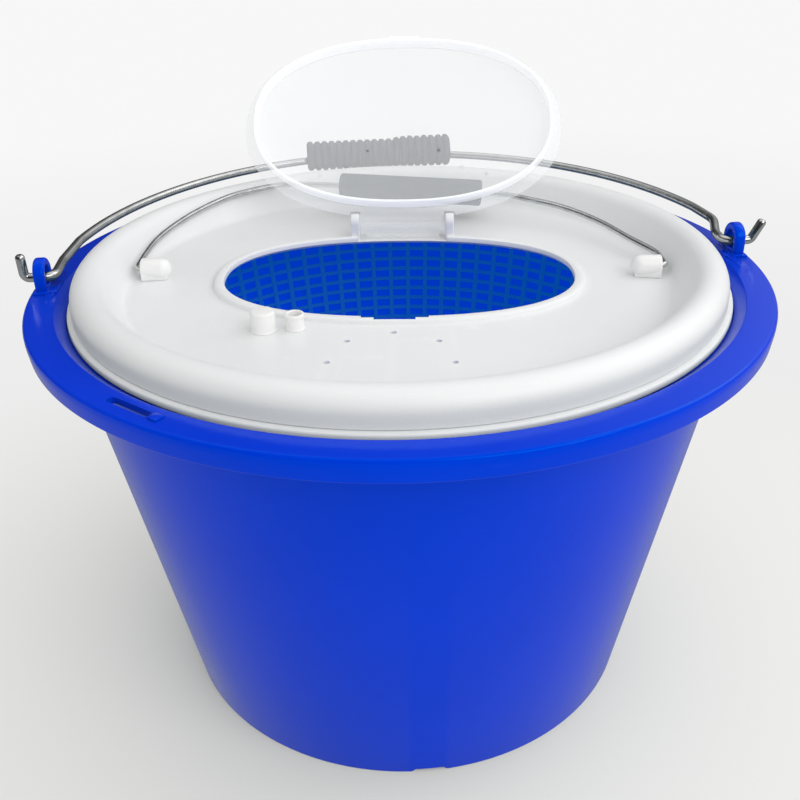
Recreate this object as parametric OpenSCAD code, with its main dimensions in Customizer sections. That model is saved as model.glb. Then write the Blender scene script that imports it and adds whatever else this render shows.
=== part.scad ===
// Aerated bait bucket. A tapered tub with a wire bail holds a lift-out insert:
// a lattice basket under a recessed lid, with a tip-back hatch, an air-line
// port and a small bail of its own.
// Millimetres, +Z up. The origin is the centre of the foot ring on the ground.
// X runs along the hatch hinge and -Y is the front.

/* [Tub] */
// Height from the ground to the top of the rim
tub_h = 218.5; // [190:0.5:250]
// Outer radius of the foot
foot_r = 126; // [118:0.5:134]
// Outer radius that the wall would have at the top of the rim
mouth_r = 163.6; // [160:0.2:168]
// Wall thickness of the tub
tub_wall = 2.5; // [2:0.1:2.9]
// Thickness of the tub's floor
floor_t = 3; // [2:0.5:5]
// Height of the foot ring under the floor
foot_h = 4; // [3:0.5:8]
// Width of the foot ring
foot_w = 7; // [6:0.5:9]
// Number of drain notches in the foot ring
notch_n = 4; // [2:1:8]
// Width of a drain notch at its top
notch_w = 14; // [8:1:20]
// Height of a drain notch
notch_h = 2.5; // [1:0.5:2.5]
// Width of the inner bead that closes the foot ring behind the notches
foot_bead = 2; // [1.5:0.5:3]
// Direction of the first drain notch
notch_turn = -83; // [-120:1:-60]

/* [Rim] */
// Distance that the rim stands out from the mouth
rim_out = 16.8; // [14:0.2:22]
// Thickness of the rim's top
rim_t = 2.8; // [2:0.1:3.2]
// Depth of the skirt that hangs from the rim
skirt_h = 10.2; // [8:0.2:16]
// Radius of the rim's outer top edge
rim_edge = 2.6; // [1:0.2:2.8]
// Radius of the lead-in at the rim's inner edge
lead_in = 4.6; // [3:0.2:4.8]
// Depth of the insert's seat below the top of the rim
seat_drop = 5; // [5:0.5:8]
// Width of the insert's seat
seat_w = 2.5; // [2:0.1:3]
// Length of the slot in the rim
slot_len = 24; // [12:1:36]
// Width of the slot in the rim
slot_w = 4; // [3:0.5:6]
// Direction of the slot in the rim
slot_turn = -124; // [-140:1:-110]

/* [Ears] */
// Direction of the line through both ears
ear_turn = 7.6; // [0:0.2:20]
// Distance from the rim's edge to the middle of the ears
ear_inset = 6; // [4.4:0.2:7.4]
// Thickness of an ear, along the radius
ear_t = 5.4; // [4:0.2:6]
// Outer radius of the ear's arch
arch_r = 8; // [7:0.25:10]
// Width of the ear's posts and crown
arch_w = 4; // [3:0.25:4.5]
// Height of the arch's centre over the flange
arch_rise = 7.4; // [6:0.2:9]
// Height of the sill under the wire
sill_h = 3.2; // [2:0.2:5]

/* [Outer bail] */
// Diameter of the bail's wire
bail_d = 4.6; // [3.6:0.2:5]
// Radius of the bail's bow
bail_r = 175; // [175:0.5:180]
// Offset of the bow's centre along the ear line
bail_shift = 4; // [-4:0.5:5]
// Distance of the bow's centre from the ear line
bail_rise = 4; // [2:0.5:8]
// Tilt of the bail above level where it lies back
bail_tilt = 2.5; // [2:0.1:6]
// Radius of the bends at the ears
bail_bend = 5; // [4:0.5:6]
// Length of the hooked ends
hook_len = 12; // [8:0.5:16]
// Outward lean of the right hooked end
hook_lean = 5; // [0:0.5:8]
// Length of the outer grip
grip_len = 94; // [60:1:110]
// Diameter of the outer grip
grip_d = 18.6; // [17:0.2:19]
// Height of the outer grip's axis above the plane of its wire
grip_lift = 2; // [0:0.5:2.5]
// Number of ribs round the outer grip
grip_ribs = 20; // [10:1:24]
// Depth of the grooves between the ribs
rib_depth = 0.8; // [0.4:0.1:1]

/* [Insert ring and basket] */
// Height of the ring's outer band
ring_h = 3.3; // [2.5:0.1:4]
// Radial width of the ring
ring_w = 10; // [9.5:0.5:12]
// Height of the spigot that locates the lid
spigot_h = 5; // [3:0.5:6]
// Wall of the ring's spigot and skirt
ring_wall = 2.2; // [1.6:0.2:2.4]
// Depth of the skirt that carries the basket
ring_skirt_h = 6; // [4:0.5:8]
// Distance from the insert's seat to the underside of the basket
basket_h = 194; // [120:1:196]
// Wall of the basket
basket_wall_t = 2.2; // [1.6:0.2:2.6]
// Number of upright ribs in the basket
basket_ribs = 36; // [24:1:48]
// Width of an upright rib
basket_rib_w = 3.6; // [2.4:0.2:5]
// Number of open bands between hoops
basket_bands = 8; // [5:1:10]
// Height of a hoop
hoop_h = 3; // [2:0.2:5]
// Height of the basket's top hoop
top_hoop_h = 8; // [6:0.5:12]
// Thickness of the basket's floor
basket_floor_t = 2; // [1.6:0.2:4]
// Diameter of the floor's drain holes
drain_d = 7; // [4:0.5:8]

/* [Lid] */
// Radius of the lid's rounded rim, in section
roll_r = 8.5; // [7.5:0.1:8.8]
// Height of the rounded rim's centre above the tub's rim
roll_up = 4.6; // [4:0.2:6]
// Lean of the lid's inner wall
wall_lean = 30; // [20:1:35]
// Depth of the panel below the tub's rim
panel_drop = 4; // [2:0.2:5]
// Thickness of the lid
lid_t = 2.2; // [1.8:0.1:2.6]
// Radius of the fillet round the panel
panel_fillet = 5; // [3:0.5:6]
// Number of air holes in the panel
vent_n = 5; // [3:2:5]
// Diameter of the air holes
vent_d = 2.8; // [2:0.2:4]
// Radius of the arc of air holes
vent_arc = 27; // [24:1:30]

/* [Hatch opening] */
// Length of the hatch opening
hatch_l = 176; // [150:1:184]
// Width of the hatch opening
hatch_w = 110; // [100:1:112]
// Height of the bead round the opening
bead_h = 2.5; // [1.5:0.1:2.8]
// Width of the bead round the opening
bead_w = 5; // [4:0.2:5.5]
// Width of the shallow step of the finger notch
notch_wide = 31; // [24:1:40]
// Width of the deep step of the finger notch
notch_narrow = 19; // [14:1:22]
// Depth of the shallow step
notch_step = 2.2; // [1:0.2:2.6]
// Depth of the deep step
notch_deep = 4; // [3.8:0.1:4.6]

/* [Hatch cover] */
// Distance that the cover reaches past the opening, all round
cover_lap = 2.8; // [2:0.2:3.4]
// Thickness of the cover's plate
cover_t = 2; // [1.4:0.2:2.6]
// Gap between the cover's lip and the opening
lip_gap = 3; // [2.4:0.2:5]
// Depth of the cover's lip
lip_h = 8; // [5:0.5:10]
// Wall of the cover's lip
lip_t = 1.6; // [1.2:0.2:2]
// Distance from the opening's edge to the hinge pin
hinge_back = 6.5; // [6.2:0.1:8]
// Height of the hinge pin above the panel
hinge_up = 6.2; // [5.8:0.1:7]
// Diameter of the hinge pin
pin_d = 3; // [2.4:0.2:3.4]
// Angle through which the cover tips back from shut
open_angle = 133; // [110:1:140]
// Width of the cover's hinge tab
tab_w = 47.2; // [30:0.2:56]
// Thickness of a hinge lug
lug_t = 4.8; // [3.6:0.2:6]
// Length of a hinge lug, front to back
lug_l = 10; // [9:0.5:12]
// Height of a hinge lug above the panel
lug_h = 13.6; // [12:0.2:16]

/* [Inner bail and fittings] */
// Diameter of the inner bail's wire
wire_d = 3.2; // [2.4:0.2:3.6]
// Distance from the panel's edge to each leg of the inner bail
leg_in = 1.52; // [0.5:0.02:6]
// Distance from the sockets to the left end of the inner grip
inner_reach = 116; // [108:0.5:118]
// Length of the inner grip
inner_grip_len = 85; // [70:1:88]
// Offset of the inner grip's middle to the right
inner_grip_shift = 3.5; // [0:0.5:5]
// Diameter of the inner grip
inner_grip_d = 15; // [13:0.5:15.5]
// Diameter of a bail socket
socket_d = 10.5; // [9:0.5:12]
// Length of a bail socket
socket_l = 15; // [12:0.5:17]
// Outer diameter of the air-line port
port_d = 9; // [8.4:0.2:10]
// Bore of the air-line port
port_bore = 6.3; // [5:0.1:6.4]
// Height of the air-line port above the panel
port_h = 7.5; // [5:0.5:12]
// Diameter of the blanking plug
plug_d = 11.2; // [9:0.2:12]
// Height of the blanking plug above the panel
plug_h = 9.5; // [6:0.5:14]

/* [Hidden] */
$fn = 96;

// Clearances: rest gap, running fit of a pin, free gap between loose parts
seat_gap = 0.3;
run_gap = 0.05;
free_gap = 0.4;
stop_gap = 0.1;
eps = 0.01;

// Colours
blue = "#0a46c8";
mesh_blue = "#0a50b4";
white = "#e6e8ea";
pale = "#f2f2f0";
frost = "#e8edf2";
steel = "#8c9298";
slate = "#3a4048";

// Tub
tub_slope = (mouth_r - foot_r) / tub_h;
rim_r = mouth_r + rim_out;
ear_r = rim_r - ear_inset;
skirt_t = rim_t;
seat_z = tub_h - seat_drop;
mouth_in = mouth_r - 2.1;
seat_in = mouth_in - seat_w;
// Height at which the thick seat has run out into the plain wall
seat_foot_z = (seat_in + tub_wall - foot_r) / tub_slope;
tub_floor_z = foot_h + floor_t;
function tub_out(z) = foot_r + tub_slope * z;

// Outer bail
sill_z = tub_h + sill_h;
bail_axis_z = sill_z + seat_gap + bail_d / 2;
leg_r = ear_r - ear_t / 2 - bail_d / 2 - free_gap;
// The hooks stand clear of the rim, so the bail can come right over
hook_r = rim_r + bail_d / 2 + free_gap;
// A straight sleeve on the curved wire: the bow leaves its axis both ways
grip_sag = bail_r - sqrt(pow(bail_r, 2) - pow(grip_len / 2, 2));
grip_axis_v = bail_rise + bail_r - grip_sag / 2;
grip_bore_r = norm([grip_sag / 2, grip_lift]) + bail_d / 2 + free_gap;

// Insert ring and basket
ring_r = mouth_in - seat_gap;
ring_z = seat_z + seat_gap;
ring_top = ring_z + ring_h;
lid_out_r = ring_r - 2.4;
spigot_r = lid_out_r - lid_t - seat_gap;
basket_r = seat_in - 2.6;
ring_skirt_r = basket_r - tub_slope * ring_skirt_h - basket_wall_t - seat_gap;
basket_z = ring_z - basket_h;
function basket_out(z) = basket_r - tub_slope * (ring_z - z);

// Lid
roll_c = lid_out_r - roll_r;
roll_z = tub_h + roll_up;
panel_z = tub_h - panel_drop;
// Where the rounded rim turns into the inner wall
turn_x = roll_c - roll_r * cos(wall_lean);
turn_z = roll_z + roll_r * sin(wall_lean);
// Where the inner wall would meet the panel without its fillet
panel_edge = turn_x - (turn_z - panel_z) * tan(wall_lean);
opening_a = hatch_l / 2;
opening_b = hatch_w / 2;
oval_power = 2.28;
vent_y = -opening_b - 40;
port_at = [-44.5, -opening_b - 8.5];
plug_at = [-58.5, -opening_b - 10];
fitting_neck = 1;

// Hatch
hinge_y = opening_b + hinge_back;
hinge_z = panel_z + hinge_up;
cover_under = panel_z + bead_h + seat_gap - hinge_z;
knuckle_r = pin_d / 2 + 2;
lug_x = tab_w / 2 + free_gap;
lug_reach = norm([lug_l / 2, hinge_up]);

// Inner bail
inner_half = panel_edge - leg_in;
socket_z = panel_z + socket_d / 2;
socket_end = inner_half - wire_d / 2 - 1.4;
inner_grip_r = inner_grip_d / 2;
// Ends of the grip's axis, as shares of the reach: it drops to the right
grip_shares = [0.97, 0.85];
// The hand-bent bow either side of the grip: shares of the half span and of
// the reach, left to right
bow_left = [[-1, 0.12], [-0.985, 0.32], [-0.925, 0.54], [-0.84, 0.73], [-0.74, 0.87],
            [-0.57, 0.985], [-0.41, 0.99]];
bow_right = [[0.45, 0.82], [0.54, 0.76], [0.67, 0.66], [0.8, 0.49], [0.9, 0.29], [0.985, 0.12]];
// The bow's left shoulder rests on the lid's rounded rim
shoulder = [bow_left[3][0] * inner_half, bow_left[3][1] * inner_reach];
shoulder_gap = roll_r + wire_d / 2 + seat_gap;
shoulder_in = max(0, roll_c - norm(shoulder));
shoulder_z = roll_z + sqrt(max(0, pow(shoulder_gap, 2) - pow(shoulder_in, 2)));
inner_tilt = asin((shoulder_z - socket_z) / shoulder[1]);

// Points of an arc in a plane
function arc(c, r, a0, a1, n = 8) =
    [for (i = [0:n]) let (a = a0 + (a1 - a0) * i / n) [c[0] + r * cos(a), c[1] + r * sin(a)]];

// An oval between an ellipse and a rounded box, as a list of points
function oval(a, b, n = 72) =
    [for (i = [0:n - 1]) let (t = 360 * i / n, c = cos(t), s = sin(t))
        [a * sign(c) * pow(abs(c), 2 / oval_power), b * sign(s) * pow(abs(s), 2 / oval_power)]];

function unit(v) = v / norm(v);

// Points of a bend of radius r where a wire turns at b, on its way from a to c
function bend(a, b, c, r, n = 6) =
    let (d1 = unit(a - b), d2 = unit(c - b), open = acos(d1 * d2), turn = 180 - open)
    let (mid = b + unit(d1 + d2) * r / sin(open / 2))
    let (v0 = b + d1 * r / tan(open / 2) - mid, v1 = b + d2 * r / tan(open / 2) - mid)
    [for (i = [0:n]) let (k = i / n) mid + (v0 * sin((1 - k) * turn) + v1 * sin(k * turn)) / sin(turn)];

// A smooth curve through points, without its two end points
function spline(p, n = 4) =
    [for (i = [1:len(p) - 3], k = [0:n - 1]) let (t = k / n)
        0.5 * (2 * p[i] + (p[i + 1] - p[i - 1]) * t
            + (2 * p[i - 1] - 5 * p[i] + 4 * p[i + 1] - p[i + 2]) * t * t
            + (3 * p[i] - p[i - 1] - 3 * p[i + 1] + p[i + 2]) * t * t * t)];

// Directions along a path, and one side vector carried along it without twist
function tangents(p) =
    [for (i = [0:len(p) - 1]) unit(p[min(i + 1, len(p) - 1)] - p[max(i - 1, 0)])];
function carry(t, sides, i = 1) =
    i >= len(t) ? sides
    : let (u = sides[i - 1] - (sides[i - 1] * t[i]) * t[i]) carry(t, concat(sides, [unit(u)]), i + 1);

// A round wire swept along a path
module wire(path, d, side, n = 12) {
    t = tangents(path);
    u = carry(t, [unit(side - (side * t[0]) * t[0])]);
    rings = len(path);
    points = [for (i = [0:rings - 1], k = [0:n - 1])
        path[i] + d / 2 * (cos(360 * k / n) * u[i] + sin(360 * k / n) * cross(t[i], u[i]))];
    walls = [for (i = [0:rings - 2], k = [0:n - 1])
        each [[i * n + k, (i + 1) * n + k, (i + 1) * n + (k + 1) % n],
              [i * n + k, (i + 1) * n + (k + 1) % n, i * n + (k + 1) % n]]];
    first = [for (k = [0:n - 1]) k];
    last = [for (k = [n - 1:-1:0]) (rings - 1) * n + k];
    polyhedron(points, concat(walls, [first, last]));
}

// A plate with the outline of the hatch opening, grown by a distance
module oval_plate(grow, z0, z1) {
    translate([0, 0, z0]) linear_extrude(z1 - z0)
        polygon(oval(opening_a + grow, opening_b + grow));
}

// Sub-parts

module ear() {
    translate([ear_r + ear_t / 2, 0, tub_h - eps]) rotate([0, -90, 0]) linear_extrude(ear_t)
        difference() {
            union() {
                translate([arch_rise, 0]) circle(arch_r);
                translate([0, -arch_r]) square([arch_rise, 2 * arch_r]);
            }
            translate([arch_rise, 0]) circle(arch_r - arch_w);
            translate([sill_h, arch_w - arch_r])
                square([arch_rise - sill_h, 2 * (arch_r - arch_w)]);
            translate([-2 * arch_r, -arch_r]) square(2 * arch_r);
        }
    translate([ear_r - ear_t / 2 - 1, -arch_r - 2, tub_h - eps]) cube([ear_t + 2, 2 * arch_r + 4, 1.2]);
}

module bucket_tub() {
    top_in = mouth_in + lead_in;
    profile = concat(
        [[foot_r - foot_w, 0], [foot_r, 0], [tub_out(tub_h - rim_t), tub_h - rim_t],
         [rim_r - skirt_t, tub_h - rim_t], [rim_r - skirt_t - 0.6, tub_h - skirt_h],
         [rim_r - 0.8, tub_h - skirt_h], [rim_r, tub_h - rim_edge - 1]],
        arc([rim_r - rim_edge, tub_h - rim_edge], rim_edge, 0, 90, 5),
        arc([top_in, tub_h - lead_in], lead_in, 90, 180, 6),
        [[mouth_in, seat_z], [seat_in, seat_z], [seat_in, seat_foot_z],
         [tub_out(tub_floor_z) - tub_wall, tub_floor_z], [0, tub_floor_z],
         [0, foot_h], [foot_r - foot_w, foot_h]]);
    color(blue) union() {
        difference() {
            rotate_extrude() polygon(profile);
            for (i = [0:notch_n - 1]) rotate(notch_turn + i * 360 / notch_n)
                translate([foot_r - foot_w + foot_bead, 0, 0]) rotate([90, 0, 90])
                    linear_extrude(3 * foot_w) polygon([
                        [-notch_w / 2 - 1.4 * notch_h, -1], [notch_w / 2 + 1.4 * notch_h, -1],
                        [notch_w / 2, notch_h], [-notch_w / 2, notch_h]]);
            rotate(slot_turn) translate([ear_r - 2 - slot_w / 2, -slot_len / 2, tub_h - rim_t - 1])
                cube([slot_w, slot_len, rim_t + 2]);
        }
        for (side = [0, 180]) rotate(ear_turn + side) ear();
        rotate(slot_turn) translate([ear_r - 4.4, slot_len / 2 + 0.6, tub_h - eps])
            cube([4.8, 5, 0.9]);
    }
}

// The outer bail is drawn lying flat behind the ear line, then tilted up
module outer_bail_place() {
    translate([0, 0, bail_axis_z]) rotate(ear_turn) rotate([bail_tilt, 0, 0]) children();
}

module outer_bail_wire() {
    centre = [bail_shift, bail_rise];
    bow = [for (p = arc(centre, bail_r, 166, 16, 44)) [p[0], p[1], 0]];
    left_in = [-leg_r, 0, 0];
    left_out = [-hook_r, 0, 0];
    right_in = [leg_r, 0, 0];
    right_out = [hook_r, 0, 0];
    left_tip = [-hook_r, 0, hook_len];
    right_tip = [hook_r + hook_lean, 0, hook_len - 1.5];
    left_knee = [-leg_r, arch_r + 12, 0];
    right_straight = [leg_r, arch_r + 3, 0];
    right_knee = [leg_r + 7, 31, 0];
    path = concat([left_tip], bend(left_tip, left_out, left_in, bail_bend - 2.3),
        bend(left_out, left_in, left_knee, bail_bend), bend(left_in, left_knee, bow[0], 30, 3), bow,
        bend(bow[44], right_knee, right_straight, 20, 3),
        bend(right_knee, right_straight, right_in, 16, 3),
        bend(right_straight, right_in, right_out, bail_bend),
        bend(right_in, right_out, right_tip, bail_bend - 2.3), [right_tip]);
    // Straight round pins between the bends turn in the ears
    pin_from = leg_r + bail_bend;
    pin_to = hook_r - bail_bend + 2.3;
    color(steel) outer_bail_place() union() {
        wire(path, bail_d - 2 * run_gap, [0, 1, 0]);
        for (side = [-1, 1]) translate([side * (pin_from + pin_to) / 2, 0, 0]) rotate([0, 90, 0])
            cylinder(d = bail_d, h = pin_to - pin_from, center = true);
    }
}

module outer_grip() {
    pitch = grip_len / grip_ribs;
    outer = [for (i = [0:grip_ribs - 1], q = [[0.12, 1], [0.24, 0], [0.76, 0], [0.88, 1]])
        [grip_d / 2 - rib_depth * q[1], (i + q[0]) * pitch - grip_len / 2]];
    profile = concat([[grip_bore_r, -grip_len / 2], [grip_d / 2 - rib_depth, -grip_len / 2]], outer,
        [[grip_d / 2 - rib_depth, grip_len / 2], [grip_bore_r, grip_len / 2]]);
    color(slate) outer_bail_place() translate([bail_shift, grip_axis_v, grip_lift])
        rotate([0, 90, 0]) rotate_extrude() polygon(profile);
}

module insert_ring() {
    color(white) rotate_extrude() polygon([
        [ring_r - ring_w, ring_z], [ring_skirt_r - ring_wall, ring_z],
        [ring_skirt_r - ring_wall, ring_z - ring_skirt_h], [ring_skirt_r, ring_z - ring_skirt_h],
        [ring_skirt_r, ring_z], [ring_r - 0.5, ring_z], [ring_r, ring_z + 0.5],
        [ring_r, ring_top - 0.6], [ring_r - 0.6, ring_top], [spigot_r, ring_top],
        [spigot_r, ring_top + spigot_h], [spigot_r - ring_wall, ring_top + spigot_h],
        [spigot_r - ring_wall, ring_top], [ring_r - ring_w, ring_top]]);
}

// The basket's upright ribs stand between a top hoop and a footed bottom hoop
module basket_hoop(z0, h, foot = 0) {
    rotate_extrude() polygon([[basket_out(z0) - basket_wall_t - foot, z0], [basket_out(z0), z0],
        [basket_out(z0 + h), z0 + h], [basket_out(z0 + h) - basket_wall_t - foot, z0 + h]]);
}

module basket_wall() {
    band = (basket_h - top_hoop_h - hoop_h) / basket_bands;
    lean = atan(tub_slope);
    color(mesh_blue) union() {
        basket_hoop(ring_z - top_hoop_h, top_hoop_h);
        basket_hoop(basket_z, hoop_h, 4);
        for (i = [1:basket_bands - 1]) basket_hoop(basket_z + i * band, hoop_h);
        for (i = [0:basket_ribs - 1]) rotate((i + 0.5) * 360 / basket_ribs)
            intersection() {
                translate([basket_out(basket_z) - basket_wall_t, -basket_rib_w / 2, basket_z + 0.5])
                    rotate([0, lean, 0]) translate([0.3, 0, -2])
                        cube([basket_wall_t - 0.7, basket_rib_w, basket_h / cos(lean)]);
                translate([0, -basket_rib_w, basket_z + 1])
                    cube([basket_r + 10, 2 * basket_rib_w, basket_h - 2]);
            }
    }
}

module basket_floor() {
    floor_r = basket_out(basket_z + hoop_h) - basket_wall_t - seat_gap;
    z0 = basket_z + hoop_h;
    color(mesh_blue) difference() {
        translate([0, 0, z0]) cylinder(r = floor_r, h = basket_floor_t);
        for (row = [1:5], i = [0:6 * row - 1]) rotate(i * 60 / row)
            translate([row * floor_r / 5.8, 0, z0 - 1])
                cylinder(d = drain_d, h = basket_floor_t + 2, $fn = 24);
    }
}

module lug(side) {
    x0 = side > 0 ? lug_x : -lug_x - lug_t;
    translate([x0, hinge_y, panel_z - eps]) rotate([90, 0, 90]) linear_extrude(lug_t) union() {
        translate([0, lug_h - lug_l / 2]) circle(lug_l / 2);
        translate([-lug_l / 2, 0]) square([lug_l, lug_h - lug_l / 2]);
    }
}

module insert_lid() {
    inner_r = roll_r - lid_t;
    // The inner wall leans in from the rounded rim down to the fillet
    cut = panel_fillet * tan((90 - wall_lean) / 2);
    fillet_c = [panel_edge - cut, panel_z + panel_fillet];
    under_x = panel_edge + lid_t / cos(wall_lean) + lid_t * tan(wall_lean);
    profile = concat(
        [[0, panel_z - lid_t], [under_x - cut, panel_z - lid_t]],
        arc(fillet_c, panel_fillet + lid_t, -90, -wall_lean, 6),
        arc([roll_c, roll_z], inner_r, 180 - wall_lean, 0, 12),
        [[lid_out_r - lid_t, ring_top + seat_gap], [lid_out_r, ring_top + seat_gap]],
        arc([roll_c, roll_z], roll_r, 0, 180 - wall_lean, 14),
        arc(fillet_c, panel_fillet, -wall_lean, -90, 6), [[0, panel_z]]);
    color(white) difference() {
        union() {
            difference() {
                union() {
                    rotate_extrude() polygon(profile);
                    oval_plate(bead_w, panel_z - lid_t / 2, panel_z + bead_h);
                }
                oval_plate(0, panel_z - lid_t - 1, panel_z + bead_h + 1);
                translate([-lug_x - 1, opening_b - 4, panel_z])
                    cube([2 * lug_x + 2, bead_w + 6, bead_h + 1]);
            }
            for (side = [-1, 1]) lug(side);
        }
        for (step = [[notch_wide, notch_step], [notch_narrow, notch_deep]])
            translate([-step[0] / 2, -opening_b - step[1], panel_z - lid_t - 1])
                cube([step[0], 12, lid_t + bead_h + 2]);
        translate([0, hinge_y, hinge_z]) rotate([0, 90, 0])
            cylinder(d = pin_d + 2 * run_gap, h = 2 * (lug_x + lug_t) + 2, center = true);
        for (i = [0:vent_n - 1]) translate([0, vent_y, panel_z - lid_t - 1])
            rotate(90 + (i - (vent_n - 1) / 2) * 48) translate([vent_arc, 0, 0])
                cylinder(d = vent_d, h = lid_t + 2);
        for (f = [[port_at, port_d], [plug_at, plug_d]])
            translate([f[0][0], f[0][1], panel_z - lid_t - 1])
                cylinder(d = f[1] - fitting_neck + 2 * run_gap, h = lid_t + 2);
    }
}

// A socket lies along X on the panel; its blind bore opens outwards
module bail_socket() {
    reach = socket_l - socket_d / 2;
    inner_x = socket_end - reach;
    difference() {
        union() {
            translate([inner_x, 0, socket_z]) rotate([0, 90, 0]) cylinder(d = socket_d, h = reach);
            translate([inner_x, 0, socket_z]) sphere(d = socket_d);
            translate([inner_x, -socket_d / 2 + 1, panel_z])
                cube([reach, socket_d - 2, socket_d / 2]);
        }
        translate([inner_x, 0, socket_z]) rotate([0, 90, 0])
            cylinder(d = wire_d + 2 * run_gap, h = reach + 1);
    }
}

module right_bail_socket() { color(pale) bail_socket(); }

module left_bail_socket() { color(pale) mirror([1, 0, 0]) bail_socket(); }

module inner_bail_place() {
    translate([0, 0, socket_z]) rotate([inner_tilt, 0, 0]) children();
}

// The inner grip's axis at a distance right of its middle
function inner_grip_at(x) = [inner_grip_shift + x, inner_reach * (grip_shares[0] + grip_shares[1]) / 2
    + x * inner_reach * (grip_shares[1] - grip_shares[0]) / inner_grip_len, 0];

module inner_bail_wire() {
    function at(p) = [p[0] * inner_half, p[1] * inner_reach, 0];
    left = [for (p = bow_left) at(p)];
    right = [for (p = bow_right) at(p)];
    middle = [for (k = [-0.5, -0.44, -0.15, 0.15, 0.44, 0.5]) inner_grip_at(k * inner_grip_len)];
    left_in = [-inner_half + 5, 0, 0];
    right_in = [inner_half - 5, 0, 0];
    left_knee = [-inner_half, 0, 0];
    right_knee = [inner_half, 0, 0];
    bow = spline(concat([left_knee], left, middle, right, [right_knee]));
    path = concat([left_in], bend(left_in, left_knee, left[0], 2.6), bow, [right[5]],
        bend(right[5], right_knee, right_in, 2.6), [right_in]);
    color(steel) inner_bail_place() union() {
        wire(path, wire_d - 2 * run_gap, [0, 0, 1]);
        for (side = [-1, 1]) translate([side * (socket_end - 4), 0, 0]) rotate([0, 90, 0])
            cylinder(d = wire_d, h = 10, center = true);
    }
}

module inner_grip() {
    ends = [inner_grip_at(-inner_grip_len / 2), inner_grip_at(inner_grip_len / 2)];
    turn = atan2(ends[1][1] - ends[0][1], ends[1][0] - ends[0][0]);
    color(slate) inner_bail_place() translate(inner_grip_at(0)) rotate(turn) rotate([0, 90, 0])
        difference() {
            cylinder(r = inner_grip_r, h = inner_grip_len, center = true);
            cylinder(r = wire_d / 2 + 2 * free_gap, h = inner_grip_len + 2, center = true);
        }
}

// The cover is drawn shut, with its hinge line on the X axis, then tipped back
module hatch_cover() {
    edge_y = opening_b + cover_lap - hinge_y;
    tongue_w = notch_narrow - 2;
    color(frost) translate([0, hinge_y, hinge_z]) rotate([-open_angle, 0, 0]) union() {
        difference() {
            translate([0, -hinge_y, 0]) union() {
                oval_plate(cover_lap, cover_under, cover_under + cover_t);
                difference() {
                    oval_plate(-lip_gap, cover_under - lip_h, cover_under + eps);
                    oval_plate(-lip_gap - lip_t, cover_under - lip_h - 1, cover_under);
                }
                translate([-tongue_w / 2, -opening_b - cover_lap + 0.2, cover_under - lip_h / 2])
                    cube([tongue_w, lip_t, lip_h / 2 + eps]);
            }
            for (side = [-1, 1]) translate([side * (lug_x + lug_t / 2), 0, 0]) rotate([0, 90, 0])
                cylinder(r = lug_reach + free_gap, h = lug_t + 2 * free_gap, center = true);
            for (h = [[20.4, 15.6], [33.4, 26.2], [47.4, 30.8]], side = [-1, 1])
                translate([side * h[0], h[1] - hinge_y, cover_under - 1])
                    cylinder(d = 2, h = cover_t + 2, $fn = 24);
        }
        translate([-tab_w / 2, edge_y - 8, cover_under]) cube([tab_w, 8 - edge_y, cover_t]);
        rotate([0, 90, 0]) cylinder(r = knuckle_r, h = tab_w, center = true);
        // Moulded pins that turn in the lugs, and the heel that stops on the panel
        rotate([0, 90, 0]) cylinder(d = pin_d, h = 2 * (lug_x + lug_t), center = true);
        rotate([open_angle, 0, 0]) translate([-tab_w / 2 + 3, 0, -hinge_up + stop_gap])
            cube([tab_w - 6, 4.5, hinge_up - stop_gap]);
    }
}

module air_line_port() {
    neck = port_d - fitting_neck;
    color(pale) translate([port_at[0], port_at[1], panel_z]) difference() {
        union() {
            cylinder(d = port_d - 0.6, h = port_h);
            translate([0, 0, port_h - 1.6]) cylinder(d = port_d, h = 1.6);
            translate([0, 0, -lid_t - 5]) cylinder(d = neck, h = lid_t + 5 + eps);
        }
        translate([0, 0, -lid_t - 6]) cylinder(d = port_bore, h = lid_t + port_h + 7);
    }
}

module blanking_plug() {
    color(pale) translate([plug_at[0], plug_at[1], panel_z]) {
        cylinder(d = plug_d, h = plug_h);
        translate([0, 0, -lid_t - 2]) cylinder(d = plug_d - fitting_neck, h = lid_t + 2 + eps);
    }
}

bucket_tub();
outer_bail_wire();
outer_grip();
insert_ring();
basket_wall();
basket_floor();
insert_lid();
left_bail_socket();
right_bail_socket();
inner_bail_wire();
inner_grip();
hatch_cover();
air_line_port();
blanking_plug();
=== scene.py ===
import math

import bmesh
import bpy
from mathutils import Matrix, Vector


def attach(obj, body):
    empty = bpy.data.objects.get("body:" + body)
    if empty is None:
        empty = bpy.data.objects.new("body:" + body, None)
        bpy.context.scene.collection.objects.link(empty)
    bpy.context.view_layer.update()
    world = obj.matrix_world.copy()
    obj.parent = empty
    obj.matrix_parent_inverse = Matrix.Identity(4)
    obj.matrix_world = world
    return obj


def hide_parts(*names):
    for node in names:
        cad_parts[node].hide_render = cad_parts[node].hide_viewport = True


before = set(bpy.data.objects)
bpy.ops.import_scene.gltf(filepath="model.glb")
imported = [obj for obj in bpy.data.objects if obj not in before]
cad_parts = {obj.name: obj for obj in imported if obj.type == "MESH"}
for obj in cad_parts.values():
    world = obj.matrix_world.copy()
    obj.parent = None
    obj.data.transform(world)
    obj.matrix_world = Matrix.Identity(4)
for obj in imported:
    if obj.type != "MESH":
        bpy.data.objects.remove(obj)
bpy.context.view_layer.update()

# Looks of the bait bucket: a gloss blue tub, an insert of white lid, ring and blue lattice,
# two wire bails with slate grips and a frosted hatch cover. Every shape is drawn in millimetres
# where it stands at rest, and settle() turns it into metres.
MM, CREASE = 0.001, 32

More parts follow.
